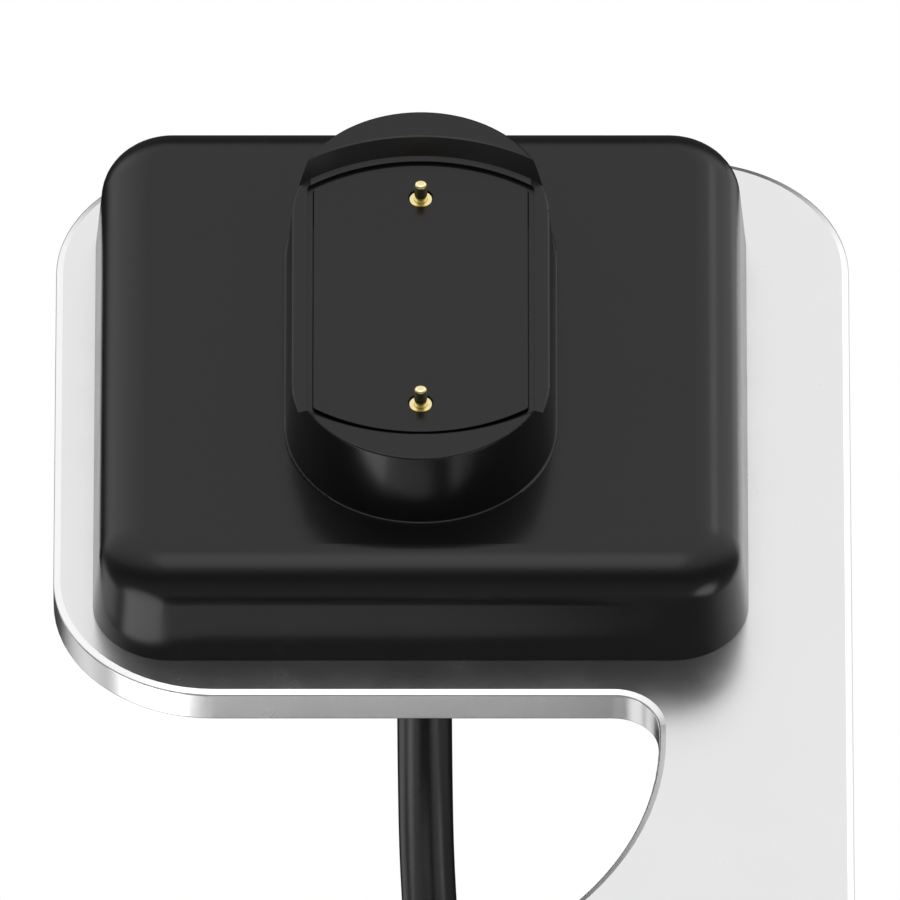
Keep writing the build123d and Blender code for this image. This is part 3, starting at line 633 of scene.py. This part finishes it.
# Plug grip. A rubber grip moulded over the lead's end, with five raised ridges for the
# fingers. It lies on the desk behind the coil.
plug_axis = coil_centre + Vector((0, 42.5, 3.8))
plug_top = 7.6
ridge_count = 5
ridge_pitch = 2.0
ridge_sink = 0.05
first_ridge = -10.6
ridge_size = Vector((1.0, 9.4, 0.8))
plug_rubber, shader = new_finish("plug_rubber", (0.01, 0.01, 0.0105), 0.42, ior=1.48)
vary_colour(shader, 3.0, (0.008, 0.008, 0.0085), (0.013, 0.013, 0.0135))
vary_gloss(shader, 1.2, 0.36, 0.5)
add_grain(shader, 0.16, 0.005)
dress(plug_rubber, "plug_overmould")

ridge_kinds = {"First ridge": "Vector", "Count": "Int", "Pitch": "Float"}
ridge_kinds.update({"Ridge size": "Vector", "Rubber": "Material"})
ridge_tree, given = begin_form("grip_ridges", ridge_kinds)
ridge_back = work_out(ridge_tree, "MULTIPLY", given["Pitch"], -1.0)
ridge_step = add_node(ridge_tree, "ShaderNodeCombineXYZ", {"X": ridge_back}).outputs["Vector"]
ridge_places = {"Count": given["Count"], "Start Location": given["First ridge"], "Offset": ridge_step}
ridge_row = add_node(ridge_tree, "GeometryNodeMeshLine", ridge_places)
ridge_round = {"Segments": 24, "Rings": 16, "Radius": 0.5}
ridge_form = add_node(ridge_tree, "GeometryNodeMeshUVSphere", ridge_round)
ridge_faces = {"Geometry": ridge_form.outputs["Mesh"]}
ridge_smooth = add_node(ridge_tree, "GeometryNodeSetShadeSmooth", ridge_faces)
ridge_parts = {"Points": ridge_row.outputs["Mesh"], "Instance": ridge_smooth.outputs["Geometry"]}
ridge_parts["Scale"] = given["Ridge size"]
ridge_copies = add_node(ridge_tree, "GeometryNodeInstanceOnPoints", ridge_parts)
end_form(ridge_tree, ridge_copies.outputs["Instances"], given["Rubber"])

ridge_values = {
    "First ridge": Vector((first_ridge, plug_axis.y, plug_top - ridge_sink)) * MM,
    "Count": ridge_count,
    "Pitch": ridge_pitch * MM,
    "Ridge size": ridge_size * MM,
    "Rubber": plug_rubber,
}
ridges = make_piece("plug_ridges", ridge_tree, ridge_values)
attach(ridges, "dock")


# Plug shell. A folded steel shell with two catch windows punched through both of its
# broad sides. Rolling leaves fine lines along it.
window_middle = -31.0
window_off_axis = 2.9
cutter_size = Vector((2.5, 2.1, 6.0))
merge_distance = 0.001
plug_steel, shader = new_finish("plug_steel", (0.66, 0.66, 0.67), 0.28, metallic=1.0)
vary_colour(shader, 1.0, (0.6, 0.6, 0.61), (0.7, 0.7, 0.71), stretch=(0.08, 1, 1))
vary_gloss(shader, 0.2, 0.22, 0.36, stretch=(0.05, 1, 1))
add_grain(shader, 0.08, 0.001, stretch=(0.04, 1, 1))
shell_form = bmesh.new()
shell_form.from_mesh(nodes["plug_shell"].data)
bmesh.ops.remove_doubles(shell_form, verts=shell_form.verts, dist=merge_distance * MM)
shell_mesh = bpy.data.meshes.new("plug_shell_windowed")
shell_form.to_mesh(shell_mesh)
shell_form.free()
windowed = bpy.data.objects.new("plug_shell_windowed", shell_mesh)
scene.collection.objects.link(windowed)
cutters = []
for side in (-1, 1):
    middle = Vector((window_middle, plug_axis.y + side * window_off_axis, plug_axis.z))
    cutter_form = bmesh.new()
    bmesh.ops.create_cube(cutter_form, size=1.0)
    for corner in cutter_form.verts:
        corner.co = (middle + corner.co * cutter_size) * MM
    cutter_mesh = bpy.data.meshes.new("window_cutter")
    cutter_form.to_mesh(cutter_mesh)
    cutter_form.free()
    cutter = bpy.data.objects.new("window_cutter", cutter_mesh)
    scene.collection.objects.link(cutter)
    cutters.append(cutter)
    window = windowed.modifiers.new("window", "BOOLEAN")
    window.operation = "DIFFERENCE"
    window.solver = "EXACT"
    window.object = cutter
settle(windowed)
for cutter in cutters:
    bpy.data.objects.remove(cutter)
windowed.data.materials.clear()
windowed.data.materials.append(plug_steel)
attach(windowed, "dock")
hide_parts("plug_shell")


# Plug tongue and contacts. A white moulded tongue in the steel shell, with four flat
# gold-plated contacts on it. With them the cord has all its pieces.
tongue_white, shader = new_finish("white_tongue", (0.74, 0.74, 0.71), 0.42)
vary_colour(shader, 2.0, (0.72, 0.72, 0.69), (0.78, 0.78, 0.75))
vary_gloss(shader, 0.8, 0.36, 0.5)
add_grain(shader, 0.2, 0.003)
dress(tongue_white, "plug_insulator")
contact_gold, shader = new_finish("contact_gold", (0.98, 0.76, 0.34), 0.2, metallic=1.0)
vary_colour(shader, 0.6, (0.93, 0.7, 0.3), (1.0, 0.8, 0.38), stretch=(0.1, 1, 1))
vary_gloss(shader, 0.2, 0.16, 0.3, stretch=(0.06, 1, 1))
add_grain(shader, 0.06, 0.0006, stretch=(0.05, 1, 1))
dress(contact_gold, "plug_contacts")
